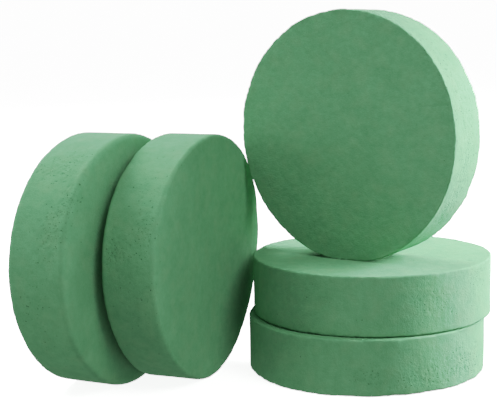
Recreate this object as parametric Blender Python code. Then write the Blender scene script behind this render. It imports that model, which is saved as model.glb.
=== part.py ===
"""A set of five round floral foam discs.

Two discs lie flat in a stack, a third stands on its rim on top of them, and
two more stand on their rims on the ground to the left of the stack.
Units are metres, +Z is up, +X is to the right and +Y is to the back.
The origin is on the ground, under the middle of the whole set.
"""

import math
from collections import namedtuple

import bmesh
import bpy

DISC_DIAMETER = 0.160
DISC_THICKNESS = 0.037
RIM_ROUNDING = 0.0015
RIM_STEPS = 2  # flats across the rounding of a rim
ROUND_STEPS = 96  # flats around a disc
REST_GAP = 0.0003  # air left between two discs that touch

# Centres in plan from the lower disc's centre: metres to the right, metres to the back.
UPPER_OFFSET = (0.0045, 0.004)
TOP_OFFSET = (-0.0045, -0.005)
NEAR_OFFSET = (-0.1195, -0.017)
FAR_OFFSET = (-0.1715, -0.028)

# How far a standing disc's face is turned from the front towards the right.
TOP_TURN = math.radians(-35.0)
NEAR_TURN = math.radians(66.5)
FAR_TURN = math.radians(64.0)

FOAM_COLOUR = (0.095, 0.235, 0.123, 1.0)
FOAM_ROUGHNESS = 0.95
SMOOTH_BELOW = math.radians(30.0)

RADIUS = DISC_DIAMETER / 2
LAYER = DISC_THICKNESS + REST_GAP

# A disc's turn is None where it lies flat. Its lowest point is its height over the ground.
Disc = namedtuple("Disc", "name offset lowest turn")
DISCS = (
    Disc("lower_stack_disc", (0.0, 0.0), 0.0, None),
    Disc("upper_stack_disc", UPPER_OFFSET, LAYER, None),
    Disc("top_standing_disc", TOP_OFFSET, 2 * LAYER, TOP_TURN),
    Disc("near_standing_disc", NEAR_OFFSET, 0.0, NEAR_TURN),
    Disc("far_standing_disc", FAR_OFFSET, 0.0, FAR_TURN),
)


def clear_scene():
    for thing in list(bpy.data.objects):
        bpy.data.objects.remove(thing, do_unlink=True)


def foam_material(name):
    material = bpy.data.materials.new(name + "_foam")
    material.use_nodes = True
    shader = material.node_tree.nodes["Principled BSDF"]
    shader.inputs["Base Color"].default_value = FOAM_COLOUR
    shader.inputs["Roughness"].default_value = FOAM_ROUGHNESS
    shader.inputs["Metallic"].default_value = 0.0
    return material


def disc_mesh(name):
    """A plain disc around the local Z axis, centred on the local origin."""
    shape = bmesh.new()
    bmesh.ops.create_cone(
        shape,
        cap_ends=True,
        segments=ROUND_STEPS,
        radius1=RADIUS,
        radius2=RADIUS,
        depth=DISC_THICKNESS,
    )
    mesh = bpy.data.meshes.new(name)
    shape.to_mesh(mesh)
    shape.free()
    mesh.shade_smooth()
    mesh.set_sharp_from_angle(angle=SMOOTH_BELOW)
    return mesh


def round_the_rims(thing):
    bevel = thing.modifiers.new("rounded_rims", "BEVEL")
    bevel.width = RIM_ROUNDING
    bevel.segments = RIM_STEPS
    bevel.limit_method = "ANGLE"
    bevel.angle_limit = SMOOTH_BELOW


def half_size(disc):
    """Half of the disc's width and half of its depth, as seen from above."""
    if disc.turn is None:
        return RADIUS, RADIUS
    across_face = RADIUS - RIM_ROUNDING
    across_side = DISC_THICKNESS / 2 - RIM_ROUNDING
    sine = abs(math.sin(disc.turn))
    cosine = abs(math.cos(disc.turn))
    half_width = across_face * cosine + across_side * sine + RIM_ROUNDING
    half_depth = across_face * sine + across_side * cosine + RIM_ROUNDING
    return half_width, half_depth


def middle_of_set():
    """The middle of the set's outline in plan, from the lower disc's centre."""
    middle = []
    for axis in (0, 1):
        low = min(disc.offset[axis] - half_size(disc)[axis] for disc in DISCS)
        high = max(disc.offset[axis] + half_size(disc)[axis] for disc in DISCS)
        middle.append((low + high) / 2)
    return middle


def build_disc(disc, middle):
    mesh = disc_mesh(disc.name)
    mesh.materials.append(foam_material(disc.name))
    thing = bpy.data.objects.new(disc.name, mesh)
    bpy.context.scene.collection.objects.link(thing)
    round_the_rims(thing)
    if disc.turn is None:
        centre_height = disc.lowest + DISC_THICKNESS / 2
    else:
        centre_height = disc.lowest + RADIUS
        thing.rotation_euler = (math.pi / 2, 0.0, disc.turn)
    thing.location = (disc.offset[0] - middle[0], disc.offset[1] - middle[1], centre_height)


def build():
    clear_scene()
    middle = middle_of_set()
    for disc in DISCS:
        build_disc(disc, middle)


build()
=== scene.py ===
"""Looks of five round floral foam discs.

Two lie stacked, one stands on the stack, and two stand beside it, one behind the other.
Each disc is a cut piece of crumbly foam: slightly out of round, with soft ragged rims,
faint cutting streaks and patches of small open pits on its side.
"""

import itertools
import math
from collections import namedtuple

import bmesh
import bpy
import numpy as np
from mathutils import Matrix, Vector


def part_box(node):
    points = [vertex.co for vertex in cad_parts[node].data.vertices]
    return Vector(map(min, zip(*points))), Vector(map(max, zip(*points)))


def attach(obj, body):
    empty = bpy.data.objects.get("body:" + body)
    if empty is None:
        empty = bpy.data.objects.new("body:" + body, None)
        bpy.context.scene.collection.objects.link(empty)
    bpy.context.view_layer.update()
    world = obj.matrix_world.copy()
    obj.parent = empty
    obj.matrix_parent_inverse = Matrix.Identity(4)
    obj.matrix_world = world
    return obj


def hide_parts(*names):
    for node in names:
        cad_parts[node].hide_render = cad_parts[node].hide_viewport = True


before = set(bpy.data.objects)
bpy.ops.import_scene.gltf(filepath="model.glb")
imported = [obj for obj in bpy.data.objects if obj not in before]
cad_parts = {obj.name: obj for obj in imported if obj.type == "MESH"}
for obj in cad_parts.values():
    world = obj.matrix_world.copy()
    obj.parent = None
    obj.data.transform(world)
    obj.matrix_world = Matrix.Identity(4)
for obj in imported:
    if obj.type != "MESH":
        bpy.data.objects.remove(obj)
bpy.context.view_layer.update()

MM = 0.001

# All five discs have the lower disc's size.
LOW, HIGH = (Vector(corner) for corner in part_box("lower_stack_disc"))
STACK_MIDDLE = (LOW + HIGH) / 2
RADIUS = (HIGH.x - LOW.x) / 2
HALF = (HIGH.z - LOW.z) / 2

# The discs' mesh.
FACE_CELLS = 160  # cells across a face, and a quarter of the cells around its rim
SIDE_ROWS = 44
RIM_STEPS = 6
NOISE_REACH = 100 * MM  # the noise covers this far each way from a disc's centre
NOISE_TURN = Matrix.Rotation(0.6, 3, Vector((1, 2, 3)))  # keeps its cells out of line

# The discs' uneven surface: long waves in the faces and the side, a fine grain all over,
# and rims that wander in and out and are chipped.
WAVE_DEPTH = 0.16 * MM
WAVE_WIDTH = 26 * MM
SIDE_WAVE_DEPTH = 0.22 * MM
SIDE_WAVE_WIDTH = 14 * MM
GRAIN_DEPTH = 0.035 * MM
GRAIN_WIDTH = 1.7 * MM
RIM_CHIP_DEPTH = 0.5 * MM
RIM_CHIP_WIDTH = 3.2 * MM
RIM_FINE_CHIP_SHARE = 0.6  # of the chips that are half as wide
RIM_CHIP_RANGE = (-0.2, 1.0)
RIM_WANDER_DEPTH = 0.45 * MM
RIM_WANDER_WIDTH = 11.0 * MM
RIM_REACH = 3.0 * MM  # how far from a rim it is chipped and wanders

# Pits in the mesh: the least and the most radius and depth of one.
PIT_RADIUS = (0.6 * MM, 1.2 * MM)
PIT_DEPTH = (0.1 * MM, 0.35 * MM)
PATCH_DENSITY = 1.6  # mm2 of a patch that one of its pits fills with finer ones

Disc = namedtuple("Disc", "node body turn oval lobe taper growth thicker rim ragged pressed "
                          "seed pits dents")
# node, body: the CAD node it replaces and the body it rides on
# turn: a standing disc's heading in degrees, or None for a disc that lies flat
# oval, lobe: (height in mm, direction in degrees) of an out-of-round swelling with two
#   opposite sides, or with three
# taper: how much larger the upper or front face's radius is than the middle's, in mm
# growth: the mean radius's difference from the CAD disc's, in mm
# thicker: how far the upper or front face and the other face stand out beyond the CAD
#   disc's, in mm
# rim: the radius of the rims' rounding, in mm
# ragged: how chipped the rims are, against RIM_CHIP_DEPTH and RIM_WANDER_DEPTH
# pressed: how far a standing disc's round outline would reach below the CAD disc's lowest
#   point, and how far above that point it is pressed flat, in mm; None for one lying flat
# seed: where its random draws start
# pits: patches of pits, each (direction in degrees, height across the side from -1 to 1,
#   reach around the side in mm, reach across it in mm, number of pits)
# dents: marks in the upper or front face, each (x in mm, y in mm, radius in mm, depth in mm)
DISCS = [
    Disc("lower_stack_disc", "lower_disc", None, (1.2, 84), (0.6, 9), 0.1, 0.0,
         (-0.5, 0), 1.3, 0.7, None, 11,
         [(-42, -0.3, 13, 12, 110), (-62, -0.5, 14, 9, 50), (-93, -0.3, 5, 6, 16),
          (100, 0.0, 30, 14, 60)], []),
    Disc("upper_stack_disc", "upper_disc", None, (0.8, 75), (0.6, 22), 0.1, 0.4,
         (1.4, 0.5), 1.3, 0.7, None, 23,
         [(-35, 0.7, 7, 8, 30), (-63, 0.1, 12, 9, 26), (140, 0.0, 30, 12, 60)],
         [(61, -33, 2.0, 0.3), (-40, -20, 2.5, 0.2)]),
    Disc("top_standing_disc", "top_disc", -35.0, (1.0, -79), (0.5, 40), 0.3, 0.9,
         (0, 0), 1.0, 0.9, (0.0, 1.3), 37,
         [(30, 0.4, 18, 14, 110), (-3, 0.0, 22, 14, 150), (-35, 0.2, 14, 12, 90),
          (160, 0.0, 30, 12, 60)],
         [(30, -70, 2.6, 0.2), (37, -66, 2.0, 0.2), (42, -63, 2.4, 0.2)]),
    Disc("near_standing_disc", "near_disc", 66.5, (2.0, 36), (1.8, 37), 0.1, 0.2,
         (0, 0), 2.6, 0.4, (0.4, 0.0), 53,
         [(171, -0.45, 6, 8, 50), (162, 0.45, 8, 10, 60), (141, 0.3, 14, 12, 24),
          (-168, 0.4, 14, 12, 24), (0, 0.0, 40, 14, 80)],
         [(-60, 30, 2.5, 0.2)]),
    Disc("far_standing_disc", "far_disc", 64.0, (0.6, 80), (0.8, 48), 0.1, 0.6,
         (1.9, 1.9), 3.6, 0.4, (0.4, 0.0), 71,
         [(124, 0.3, 9, 10, 60), (147, 0.8, 9, 6, 50), (160, 0.5, 9, 9, 70),
          (128, -0.4, 6, 8, 24), (-170, 0.0, 20, 14, 30), (10, 0.0, 40, 14, 80)],
         [(-57, -50, 3.0, 0.3)]),
]
SCRATCHED = "top_standing_disc"
SCRATCH = ((58, 20.5), (75, 22.5))  # its ends on that disc's front face, in mm
SCRATCH_WIDTH = 0.9 * MM
SCRATCH_DEPTH = 0.14 * MM

# The foam's colours, as linear red, green and blue.
FOAM_PALE = (0.109, 0.302, 0.144)
# The deep green is also the colour that the mesh's pits are darkened towards: painted shade.
FOAM_DEEP = (0.071, 0.224, 0.101)
FOAM_PAINTED_SHADE = (0.020, 0.075, 0.032)
# The colour of the painted shade in the fine pits.
FOAM_WARM = (0.150, 0.300, 0.150)

# What varies between the colours: the width of each pattern and its share. Each range is
# the part of the noise's own 0 to 1 that is spread over the whole of 0 to 1.
SOFT_RANGE = (0.3, 0.7)
HARD_RANGE = (0.35, 0.65)
BLOTCH_WIDTH, BLOTCH_SHARE = 18 * MM, 0.35
MOTTLE_WIDTH, MOTTLE_SHARE = 4.5 * MM, 0.42
SPECK_WIDTH, SPECK_SHARE = 1.2 * MM, 0.4
SPECK_DETAIL, SPECK_ROUGHNESS = 4.0, 0.7
STREAK_WIDTH, STREAK_SHARE, STREAK_STRETCH = 3.0 * MM, 0.1, 0.12
TONE_SHIFT = -0.05
WARM_WIDTH, WARM_SHARE, WARM_RANGE = 9 * MM, 0.3, (0.45, 0.75)
WEAR_SHARE = 0.45
# How far the mesh's pits are darkened by their depth: painted shade in them.
PIT_PAINTED_SHADE = 0.45

# Fine pits in the material only. Their reach, its spread and their edge's width are shares
# of FINE_PIT_WIDTH.
# The second number is how far the fine pits are darkened: painted shade in them.
FINE_PIT_WIDTH, FINE_PIT_PAINTED_SHADE = 1.15 * MM, 0.8
FINE_PIT_CHANCE, STRAY_PIT_CHANCE = 0.85, 0.006
FINE_PIT_WOBBLE = 0.9 * MM
FINE_PIT_REACH, FINE_PIT_SPREAD, FINE_PIT_EDGE = 0.2, 0.35, 0.15
FINE_PIT_FAINTEST = 0.35

# How the foam takes light, and the bumps in it: each pattern's share of their height.
FOAM_ROUGHNESS = (0.9, 1.0)
FOAM_SPECULAR = 0.04
BUMP_STRENGTH, BUMP_DEPTH = 0.6, 0.5 * MM
BUMP_GRAIN, BUMP_MOTTLE, BUMP_STREAK, BUMP_PORE, BUMP_FINE_PIT = 0.75, 0.5, 0.15, 0.15, -1.2
BUMP_GRAIN_WIDTH, BUMP_GRAIN_DETAIL, BUMP_GRAIN_ROUGHNESS = 0.9 * MM, 3.0, 0.65
PORE_WIDTH, PORE_REACH = 1.1 * MM, 0.35

# The studio. A lamp's heading is in degrees from the camera's side towards the right, and
# its height in degrees above the level of AIM, both seen from AIM. Its distance and size
# are in metres and its power in watts.
Lamp = namedtuple("Lamp", "name heading height distance size power")
LAMPS = [
    Lamp("key", 96, 14, 0.47, 0.25, 10.5),
    Lamp("high_key", 105, 30, 0.75, 0.45, 8.5),
    Lamp("back_fill", -150, 45, 1.7, 0.9, 60),
    Lamp("left_fill", -110, 45, 1.7, 0.9, 19),
    Lamp("low_fill", -80, 8, 1.7, 0.9, 13),
    Lamp("front_fill", 40, 45, 1.7, 0.9, 20),
]
STACK_LAMP = "key"  # its barn doors keep it on the stacked discs and the one on them
STACK = ("lower_stack_disc", "upper_stack_disc", "top_standing_disc")
AIM = Vector((0.0, 0.0, 0.1))
WHITE = (1.0, 1.0, 1.0)
WORLD_STRENGTH = 0.57

# The floor, in metres. The share FLOOR_FLAT of its reach is level.
FLOOR_REACH, FLOOR_RISE, FLOOR_FLAT = 20.0, 9.0, 0.35
FLOOR_RINGS, FLOOR_SIDES = 24, 96
FLOOR_GLOW = 3.4
PAPER_DARK, PAPER_PALE = (0.84,) * 3, (0.88,) * 3
PAPER_GRAIN_WIDTH, PAPER_GRAIN_SEED = 40 * MM, 5
PAPER_ROUGHNESS, PAPER_SPECULAR = 0.9, 0.1

# The camera's place from the point under the lower disc's middle. It looks along +Y, a
# little down, and is turned a little about its own axis, both in degrees.
CAMERA_OFFSET = Vector((-0.0777, -0.9026, 0.2421))
CAMERA_DOWN = 8.15
CAMERA_ROLL = -0.92
CAMERA_LENS, CAMERA_SENSOR = 98.8, 36  # mm

# Brightness in the scene, and how bright it is shown.
ALL_COLOURS = 3  # the curve for red, green and blue together
TONE = [(0.0, 0.0), (0.1, 0.1), (0.25, 0.24), (0.58, 0.434), (0.95, 0.54), (1.3, 0.62),
        (1.7, 0.7), (2.0, 0.74), (2.5, 0.79), (4.0, 1.0)]


def lattice_noise(points, width, rng):
    """Smooth noise from -1 to 1 at each point, which changes over about that width."""
    turned = points @ np.array(NOISE_TURN)
    spots = (turned + NOISE_REACH) / width
    size = int(2 * NOISE_REACH / width) + 2
    values = rng.uniform(-1, 1, (size, size, size))
    base = np.floor(spots).astype(int)
    part = spots - base
    part = part * part * (3 - 2 * part)
    total = np.zeros(len(points))
    for corner in itertools.product((0, 1), repeat=3):
        weight = np.prod(np.where(corner, part, 1 - part), axis=1)
        total += weight * values[tuple((base + corner).T)]
    return total


def unit_disc_grid():
    """Points of a square grid that is bent to a unit disc, each square a ring."""
    line = np.linspace(-1, 1, FACE_CELLS + 1)
    a, b = (axis.ravel() for axis in np.meshgrid(line, line, indexing="ij"))
    wide = np.abs(a) >= np.abs(b)
    radius = np.where(wide, a, b)
    other = np.where(wide, b, a)
    slope = np.divide(other, radius, out=np.zeros_like(a), where=radius != 0)
    angle = np.where(wide, math.pi / 4 * slope, math.pi / 2 - math.pi / 4 * slope)
    return np.column_stack((radius * np.cos(angle), radius * np.sin(angle)))


def grid_border():
    """The grid's border points in order around the disc, from -45 degrees."""
    n = FACE_CELLS
    row = n + 1
    right = [n * row + j for j in range(n)]
    top = [i * row + n for i in range(n, 0, -1)]
    left = list(range(n, 0, -1))
    bottom = [i * row for i in range(n)]
    return np.array(right + top + left + bottom)


def grid_quads():
    """The grid's quads, which face up."""
    row = FACE_CELLS + 1
    cell = np.arange(FACE_CELLS)
    corner = (cell[:, None] * row + cell[None, :]).ravel()
    return np.column_stack((corner, corner + row, corner + row + 1, corner + 1))


def profile(rim):
    """The side's section from the upper face's edge to the lower's: (radius, height, outward
    part of the normal, upward part of the normal) of each row, both ends included."""
    arc = [math.pi / 2 * (1 - i / RIM_STEPS) for i in range(RIM_STEPS + 1)]
    straight = [HALF - rim - 2 * (HALF - rim) * i / SIDE_ROWS for i in range(1, SIDE_ROWS)]
    rows = [(RADIUS - rim + rim * math.cos(a), HALF - rim + rim * math.sin(a),
             math.cos(a), math.sin(a))
            for a in arc]
    rows += [(RADIUS, z, 1.0, 0.0) for z in straight]
    rows += [(r, -z, out, -up) for r, z, out, up in reversed(rows[:RIM_STEPS + 1])]
    return rows


def round_block(rim):
    """A round block's points, their outward normals and its quads."""
    flat = unit_disc_grid() * (RADIUS - rim)
    count = len(flat)
    points = [np.column_stack((flat, np.full(count, z))) for z in (HALF, -HALF)]
    normals = [np.tile((0, 0, up), (count, 1)) for up in (1.0, -1.0)]
    border = grid_border()
    around = np.arctan2(flat[border, 1], flat[border, 0])
    across = np.column_stack((np.cos(around), np.sin(around)))
    rings = [border]
    start = 2 * count
    for r, z, out, up in profile(rim)[1:-1]:
        points.append(np.column_stack((r * across, np.full(len(border), z))))
        normals.append(np.column_stack((out * across, np.full(len(border), up))))
        rings.append(np.arange(start, start + len(border)))
        start += len(border)
    rings.append(border + count)
    upper = grid_quads()
    quads = [upper, upper[:, ::-1] + count]
    for above, below in zip(rings, rings[1:]):
        quads.append(np.column_stack((above, below, np.roll(below, -1), np.roll(above, -1))))
    return np.concatenate(points), np.concatenate(normals), np.concatenate(quads)


def on_side(disc, points):
    """Which points are on the disc's side or close to its rims."""
    return np.hypot(points[:, 0], points[:, 1]) > RADIUS - 2 * disc.rim * MM


def turn_from(angle, around):
    """How far each angle in around is turned from that angle, from -pi to pi."""
    return (around - angle + math.pi) % (2 * math.pi) - math.pi


def pit_field(disc, points, rng):
    """How deep the open pits are at each point, in metres."""
    depth = np.zeros(len(points))
    around = np.arctan2(points[:, 1], points[:, 0])
    where = np.flatnonzero(on_side(disc, points))
    for direction, height, reach, across, count in disc.pits:
        for _ in range(count):
            angle = math.radians(direction) + rng.normal() * reach * MM / RADIUS
            level = height * HALF + rng.normal() * across * MM / 2
            size = rng.uniform(*PIT_RADIUS)
            deep = rng.uniform(*PIT_DEPTH)
            turn = turn_from(angle, around[where])
            away = np.hypot(turn * RADIUS, points[where, 2] - level) / size
            depth[where] = np.maximum(depth[where], deep * np.clip(1 - away * away, 0, 1))
    return depth


def patch_field(disc, points):
    """How much each point lies in a patch of pits, from 0 to 1."""
    share = np.zeros(len(points))
    around = np.arctan2(points[:, 1], points[:, 0])
    side = on_side(disc, points)
    for direction, height, reach, across, count in disc.pits:
        turn = turn_from(math.radians(direction), around)
        away = np.hypot(turn * RADIUS / (reach * MM),
                        (points[:, 2] - height * HALF) / (across * MM / 2))
        dense = min(1.0, PATCH_DENSITY * count / (reach * across))
        share = np.maximum(share, dense * np.exp(-away * away / 2) * side)
    return share


def near_rim(points, rim):
    """From 1 on the rims to 0 at RIM_REACH from them."""
    inward = RADIUS - rim / 2 - np.hypot(points[:, 0], points[:, 1])
    down = HALF - rim / 2 - np.abs(points[:, 2])
    away = np.maximum(inward, down)
    return np.clip(1 - away / RIM_REACH, 0, 1) ** 2


def swell(disc, points):
    """The points moved to the disc's own slightly uneven outline and thickness."""
    around = np.arctan2(points[:, 1], points[:, 0])
    oval, oval_at = disc.oval
    lobe, lobe_at = disc.lobe
    more = (oval * np.cos(2 * (around - math.radians(oval_at)))
            + lobe * np.cos(3 * (around - math.radians(lobe_at)))
            + disc.taper * points[:, 2] / HALF + disc.growth)
    share = 1 + more * MM / RADIUS
    front, back = disc.thicker
    height = 1 + np.where(points[:, 2] > 0, front, back) * MM / HALF
    return points * np.column_stack((share, share, height))


def face_marks(disc, points):
    """How deep the dents and the scratch in the upper or front face are at each point."""
    depth = np.zeros(len(points))
    facing = points[:, 2] > HALF - disc.rim * MM
    for x, y, size, deep in disc.dents:
        away = np.hypot(points[:, 0] - x * MM, points[:, 1] - y * MM) / (size * MM)
        depth = np.maximum(depth, deep * MM * np.clip(1 - away * away, 0, 1) * facing)
    if disc.node == SCRATCHED:
        start, end = (np.array(spot) * MM for spot in SCRATCH)
        way = end - start
        along = np.clip((points[:, :2] - start) @ way / np.sum(way ** 2), 0, 1)
        away = np.linalg.norm(points[:, :2] - start - along[:, None] * way, axis=1)
        line = np.clip(1 - (away / SCRATCH_WIDTH) ** 2, 0, 1) * facing
        depth = np.maximum(depth, SCRATCH_DEPTH * line)
    return depth


def foam_points(disc):
    """The finished points, their quads, and each point's marks for the material: how worn,
    how deep in a pit (for the pits' painted shade), how much in a patch of pits and how much on
    the side it is, from 0 to 1."""
    rng = np.random.default_rng(disc.seed)
    points, normals, quads = round_block(disc.rim * MM)
    rim = near_rim(points, disc.rim * MM)
    side = np.hypot(normals[:, 0], normals[:, 1])
    wave = (lattice_noise(points, WAVE_WIDTH, rng) - 1) * WAVE_DEPTH * (1 - side)  # inward only
    side_wave = lattice_noise(points, SIDE_WAVE_WIDTH, rng) * SIDE_WAVE_DEPTH * side
    grain = lattice_noise(points, GRAIN_WIDTH, rng) * GRAIN_DEPTH
    coarse = lattice_noise(points, RIM_CHIP_WIDTH, rng)
    fine = lattice_noise(points, RIM_CHIP_WIDTH / 2, rng)
    chips = np.clip(coarse + RIM_FINE_CHIP_SHARE * fine, *RIM_CHIP_RANGE) * rim
    wander = lattice_noise(points, RIM_WANDER_WIDTH, rng) * rim
    pits = pit_field(disc, points, rng) + face_marks(disc, points)
    out = wave + side_wave + grain - pits
    out -= (chips * RIM_CHIP_DEPTH + wander * RIM_WANDER_DEPTH) * disc.ragged
    moved = swell(disc, points) + normals * out[:, None]
    worn = np.clip(chips * disc.ragged, 0, 1)
    # The pits' depth, which the material turns into painted shade.
    marks = {"worn": worn, "painted_pit_shade": np.clip(pits / PIT_DEPTH[1], 0, 1),
             "patch": patch_field(disc, points), "side": side}
    return moved, quads, marks


def add_attribute(mesh, name, values):
    """One value for each of the mesh's points, for the material to read."""
    attribute = mesh.attributes.new(name, "FLOAT", "POINT")
    attribute.data.foreach_set("value", values.astype(np.float32))


def build_disc(disc):
    """One foam disc in place of its CAD node."""
    points, quads, marks = foam_points(disc)
    standing = disc.turn is not None
    if standing:
        pressed, flat_height = (length * MM for length in disc.pressed)
        points[:, 1] -= points[:, 1].min() + RADIUS + pressed
        points[:, 1] = np.maximum(points[:, 1], flat_height - RADIUS)
    else:
        points[:, 2] = np.maximum(points[:, 2], -HALF - disc.thicker[1] * MM)
    mesh = bpy.data.meshes.new(disc.node.replace("_disc", "_foam"))
    mesh.from_pydata(points.tolist(), [], quads.tolist())
    mesh.shade_smooth()
    for name, values in marks.items():
        add_attribute(mesh, name, values)
    piece = bpy.data.objects.new(mesh.name, mesh)
    bpy.context.scene.collection.objects.link(piece)
    low, high = (Vector(corner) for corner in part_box(disc.node))
    piece.location = (low + high) / 2
    if standing:
        piece.rotation_euler = (math.pi / 2, 0, math.radians(disc.turn))
    mesh.materials.append(foam_material(disc))
    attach(piece, disc.body)
    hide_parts(disc.node)
    return piece


class Nodes:
    """A material's nodes, added and linked in short calls. Each value that a method takes
    is a number, a colour or another node's socket."""

    def __init__(self, material):
        material.use_nodes = True
        self.tree = material.node_tree
        self.tree.nodes.clear()

    def add(self, kind, **settings):
        """A new node, by its type's name without ShaderNode."""
        node = self.tree.nodes.new("ShaderNode" + kind)
        for name, value in settings.items():
            setattr(node, name, value)
        return node

    def put(self, node, socket, value):
        """Links value to the node's input if it is a socket, or sets the input to it."""
        if isinstance(value, bpy.types.NodeSocket):
            self.tree.links.new(value, node.inputs[socket])
        else:
            node.inputs[socket].default_value = value

    def maths(self, operation, a, b):
        node = self.add("Math", operation=operation)
        self.put(node, 0, a)
        self.put(node, 1, b)
        return node.outputs[0]

    def mix(self, share, a, b):
        """The colour a with that share of the colour b over it."""
        node = self.add("Mix", data_type="RGBA")
        self.put(node, 0, share)
        self.put(node, 6, a)  # a Mix node's sockets 6 and 7 and its output 2 are colours
        self.put(node, 7, b)
        return node.outputs[2]

    def noise(self, place, width, seed, detail=3.0, roughness=0.5):
        """Noise from 0 to 1 that changes over about that width."""
        node = self.add("TexNoise", noise_dimensions="4D")
        self.put(node, "Vector", place)
        self.put(node, "W", float(seed))
        self.put(node, "Scale", 1 / width)
        self.put(node, "Detail", detail)
        self.put(node, "Roughness", roughness)
        return node.outputs[0]

    def spread(self, value, low, high, to_low=0.0, to_high=1.0):
        """The value, with low to high spread over to_low to to_high and held there."""
        node = self.add("MapRange")
        self.put(node, 0, value)
        for i, number in enumerate((low, high, to_low, to_high)):
            self.put(node, i + 1, number)
        return node.outputs[0]

    def total(self, *parts):
        """The sum of the parts, each (value, share)."""
        result = 0.0
        for value, share in parts:
            node = self.add("Math", operation="MULTIPLY_ADD")
            self.put(node, 0, value)
            self.put(node, 1, share)
            self.put(node, 2, result)
            result = node.outputs[0]
        return result

    def attribute(self, name):
        """One of the marks that the mesh carries."""
        return self.add("Attribute", attribute_name=name).outputs["Fac"]


    def cells(self, place, width):
        """A Voronoi node with cells of about that width."""
        node = self.add("TexVoronoi")
        self.put(node, "Vector", place)
        self.put(node, "Scale", 1 / width)
        return node

    def surface(self, shader):
        """Makes the shader the material's surface."""
        self.put(self.add("OutputMaterial"), "Surface", shader.outputs[0])


def rgba(colour):
    return (*colour, 1.0)


def fine_pits(nodes, place):
    """From 0 to 1 in small ragged pits, many in the patches and a few elsewhere."""
    uneven = nodes.add("TexNoise")
    nodes.put(uneven, "Vector", place)
    nodes.put(uneven, "Scale", 1 / FINE_PIT_WIDTH)
    wobbled = nodes.add("VectorMath", operation="MULTIPLY_ADD")
    nodes.put(wobbled, 0, uneven.outputs["Color"])
    nodes.put(wobbled, 1, (FINE_PIT_WOBBLE,) * 3)
    nodes.put(wobbled, 2, place)
    cells = nodes.cells(wobbled.outputs[0], FINE_PIT_WIDTH)
    draw = nodes.add("SeparateColor")  # three random numbers for each cell
    nodes.put(draw, 0, cells.outputs["Color"])
    chance = nodes.total((nodes.attribute("patch"), FINE_PIT_CHANCE), (1.0, STRAY_PIT_CHANCE))
    present = nodes.maths("LESS_THAN", draw.outputs[0], chance)
    reach = nodes.total((draw.outputs[1], FINE_PIT_SPREAD), (1.0, FINE_PIT_REACH))
    within = nodes.maths("SUBTRACT", reach, cells.outputs["Distance"])
    inside = nodes.spread(within, 0.0, FINE_PIT_EDGE)
    depth = nodes.maths("MULTIPLY", draw.outputs[2], draw.outputs[2])
    depth = nodes.spread(depth, 0.0, 1.0, FINE_PIT_FAINTEST, 1.0)
    return nodes.maths("MULTIPLY", inside, nodes.maths("MULTIPLY", present, depth))


def foam_patterns(nodes, disc):
    """The patterns that the foam's colour, roughness and bumps share, each from 0 to 1."""
    place = nodes.add("TexCoord").outputs["Object"]
    drawn_out = nodes.add("Mapping")
    nodes.put(drawn_out, "Vector", place)
    nodes.put(drawn_out, "Scale", (1.0, 1.0, STREAK_STRETCH))
    blotch = nodes.noise(place, BLOTCH_WIDTH, disc.seed)
    speck = nodes.noise(place, SPECK_WIDTH, disc.seed + 1, SPECK_DETAIL, SPECK_ROUGHNESS)
    streak = nodes.noise(drawn_out.outputs[0], STREAK_WIDTH, disc.seed + 2)
    grain = nodes.noise(place, BUMP_GRAIN_WIDTH, disc.seed + 3, BUMP_GRAIN_DETAIL,
                        BUMP_GRAIN_ROUGHNESS)
    mottle = nodes.noise(place, MOTTLE_WIDTH, disc.seed + 4)
    warm = nodes.noise(place, WARM_WIDTH, disc.seed + 5)
    streak = nodes.maths("MULTIPLY", nodes.spread(streak, *HARD_RANGE), nodes.attribute("side"))
    pore = nodes.spread(nodes.cells(place, PORE_WIDTH).outputs["Distance"], 0.0, PORE_REACH)
    return {"blotch": nodes.spread(blotch, *SOFT_RANGE),
            "mottle": nodes.spread(mottle, *SOFT_RANGE),
            "speck": nodes.spread(speck, *HARD_RANGE),
            "streak": streak,
            "warm": nodes.spread(warm, *WARM_RANGE, 0.0, WARM_SHARE),
            "grain": grain,
            "pore": pore,
            "fine": fine_pits(nodes, place)}


def foam_colour(nodes, patterns):
    """Mottled green, warmer in places and paler on worn rims, with painted shade darkening the
    pits.
    """
    tone = nodes.total((patterns["blotch"], BLOTCH_SHARE), (patterns["mottle"], MOTTLE_SHARE),
                       (patterns["speck"], SPECK_SHARE), (patterns["streak"], STREAK_SHARE),
                       (1.0, TONE_SHIFT))
    colour = nodes.mix(tone, rgba(FOAM_DEEP), rgba(FOAM_PALE))
    colour = nodes.mix(patterns["warm"], colour, rgba(FOAM_WARM))
    worn = nodes.maths("MULTIPLY", nodes.attribute("worn"), WEAR_SHARE)
    colour = nodes.mix(worn, colour, rgba(FOAM_PALE))
    # Painted shade in the mesh's pits, darker the deeper they are.
    painted_pit_shade = nodes.maths("MULTIPLY", nodes.attribute("painted_pit_shade"), PIT_PAINTED_SHADE)
    colour = nodes.mix(painted_pit_shade, colour, rgba(FOAM_DEEP))
    # Painted shade in the fine pits.
    fine = nodes.maths("MULTIPLY", patterns["fine"], FINE_PIT_PAINTED_SHADE)
    return nodes.mix(fine, colour, rgba(FOAM_PAINTED_SHADE))


def foam_bump(nodes, patterns):
    """The foam's powdery grain, its pores and its fine pits, as a bumpy normal."""
    bump = nodes.add("Bump")
    nodes.put(bump, "Height", nodes.total((patterns["grain"], BUMP_GRAIN),
                                          (patterns["mottle"], BUMP_MOTTLE),
                                          (patterns["streak"], BUMP_STREAK),
                                          (patterns["pore"], BUMP_PORE),
                                          (patterns["fine"], BUMP_FINE_PIT)))
    nodes.put(bump, "Strength", BUMP_STRENGTH)
    nodes.put(bump, "Distance", BUMP_DEPTH)
    return bump.outputs[0]


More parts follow.
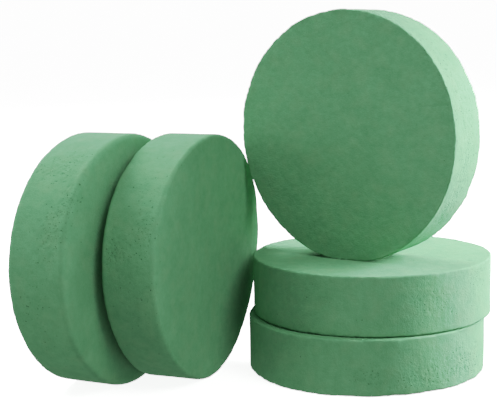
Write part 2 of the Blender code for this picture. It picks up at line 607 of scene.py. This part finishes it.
def foam_material(disc):
    """Matte, powdery green foam with mottling, faint cutting streaks, worn rims and pits, with
    painted shade in the pits.
    """
    material = bpy.data.materials.new("foam_" + disc.node)
    nodes = Nodes(material)
    patterns = foam_patterns(nodes, disc)
    shader = nodes.add("BsdfPrincipled")
    nodes.put(shader, "Base Color", foam_colour(nodes, patterns))
    nodes.put(shader, "Roughness", nodes.spread(patterns["speck"], 0.0, 1.0, *FOAM_ROUGHNESS))
    nodes.put(shader, "Specular IOR Level", FOAM_SPECULAR)
    nodes.put(shader, "Normal", foam_bump(nodes, patterns))
    nodes.surface(shader)
    return material


def floor_material():
    """White studio paper that glows a little, so that no hard shadow shows on it."""
    material = bpy.data.materials.new("white_paper")
    nodes = Nodes(material)
    place = nodes.add("TexCoord").outputs["Object"]
    grain = nodes.noise(place, PAPER_GRAIN_WIDTH, PAPER_GRAIN_SEED)
    shader = nodes.add("BsdfPrincipled")
    nodes.put(shader, "Base Color", nodes.mix(grain, rgba(PAPER_DARK), rgba(PAPER_PALE)))
    nodes.put(shader, "Roughness", PAPER_ROUGHNESS)
    nodes.put(shader, "Specular IOR Level", PAPER_SPECULAR)
    nodes.put(shader, "Emission Color", rgba(WHITE))
    nodes.put(shader, "Emission Strength", FLOOR_GLOW)
    nodes.surface(shader)
    return material


def build_floor():
    """A wide white floor that curves up all round, far away, to hide the horizon."""
    form = bmesh.new()
    middle = form.verts.new((0, 0, 0))
    rings = []
    for i in range(1, FLOOR_RINGS + 1):
        share = i / FLOOR_RINGS
        reach = FLOOR_REACH * share
        rise = FLOOR_RISE * max(0.0, share - FLOOR_FLAT) ** 2 / (1 - FLOOR_FLAT) ** 2
        around = [math.tau * k / FLOOR_SIDES for k in range(FLOOR_SIDES)]
        rings.append([form.verts.new((reach * math.cos(a), reach * math.sin(a), rise))
                      for a in around])
    for k in range(FLOOR_SIDES):
        after = (k + 1) % FLOOR_SIDES
        form.faces.new((middle, rings[0][k], rings[0][after]))
        for inner, outer in zip(rings, rings[1:]):
            form.faces.new((inner[k], outer[k], outer[after], inner[after]))
    mesh = bpy.data.meshes.new("floor")
    form.to_mesh(mesh)
    form.free()
    mesh.shade_smooth()
    mesh.materials.append(floor_material())
    floor = bpy.data.objects.new("floor", mesh)
    bpy.context.scene.collection.objects.link(floor)
    floor.visible_diffuse = False  # the white floor doesn't light the foam from below
    floor.visible_glossy = False


def light_only(light, pieces):
    """The light reaches these pieces only."""
    lit = bpy.data.collections.new(light.name + "_lit")
    for piece in pieces:
        lit.objects.link(piece)
    light.light_linking.receiver_collection = lit


def build_lights(pieces):
    """The lamps, round soft boxes that the camera doesn't see."""
    for lamp in LAMPS:
        data = bpy.data.lights.new(lamp.name, "AREA")
        data.shape = "DISK"
        data.size = lamp.size
        data.energy = lamp.power
        light = bpy.data.objects.new(lamp.name, data)
        light.visible_camera = False
        bpy.context.scene.collection.objects.link(light)
        heading, height = math.radians(lamp.heading), math.radians(lamp.height)
        towards = Vector((math.sin(heading) * math.cos(height),
                          -math.cos(heading) * math.cos(height), math.sin(height)))
        light.location = AIM + towards * lamp.distance
        light.rotation_euler = towards.to_track_quat("Z", "Y").to_euler()
        if lamp.name == STACK_LAMP:
            light_only(light, [pieces[node] for node in STACK])


def build_world():
    """Even white light from all round."""
    world = bpy.data.worlds.new("studio")
    bpy.context.scene.world = world
    world.use_nodes = True
    background = world.node_tree.nodes["Background"]
    background.inputs["Color"].default_value = rgba(WHITE)
    background.inputs["Strength"].default_value = WORLD_STRENGTH


def build_camera():
    """A long lens from in front, a little above the discs."""
    data = bpy.data.cameras.new("camera")
    data.sensor_width = CAMERA_SENSOR
    data.lens = CAMERA_LENS
    camera = bpy.data.objects.new("camera", data)
    bpy.context.scene.collection.objects.link(camera)
    place = Vector((STACK_MIDDLE.x, STACK_MIDDLE.y, 0)) + CAMERA_OFFSET
    tilt = Matrix.Rotation(math.radians(90 - CAMERA_DOWN), 4, "X")
    roll = Matrix.Rotation(math.radians(CAMERA_ROLL), 4, "Z")
    camera.matrix_world = Matrix.Translation(place) @ tilt @ roll
    bpy.context.scene.camera = camera


def set_tone():
    """Keeps the dark greens true and holds the bright ones back, as a photograph does."""
    view = bpy.context.scene.view_settings
    view.view_transform = "Standard"
    view.use_curve_mapping = True
    mapping = view.curve_mapping
    white = TONE[-1][0]
    mapping.white_level = (white,) * 3
    points = mapping.curves[ALL_COLOURS].points
    for light, shown in TONE[1:-1]:
        points.new(light / white, shown)
    mapping.update()


pieces = {disc.node: build_disc(disc) for disc in DISCS}
build_floor()
build_lights(pieces)
build_world()
build_camera()
set_tone()
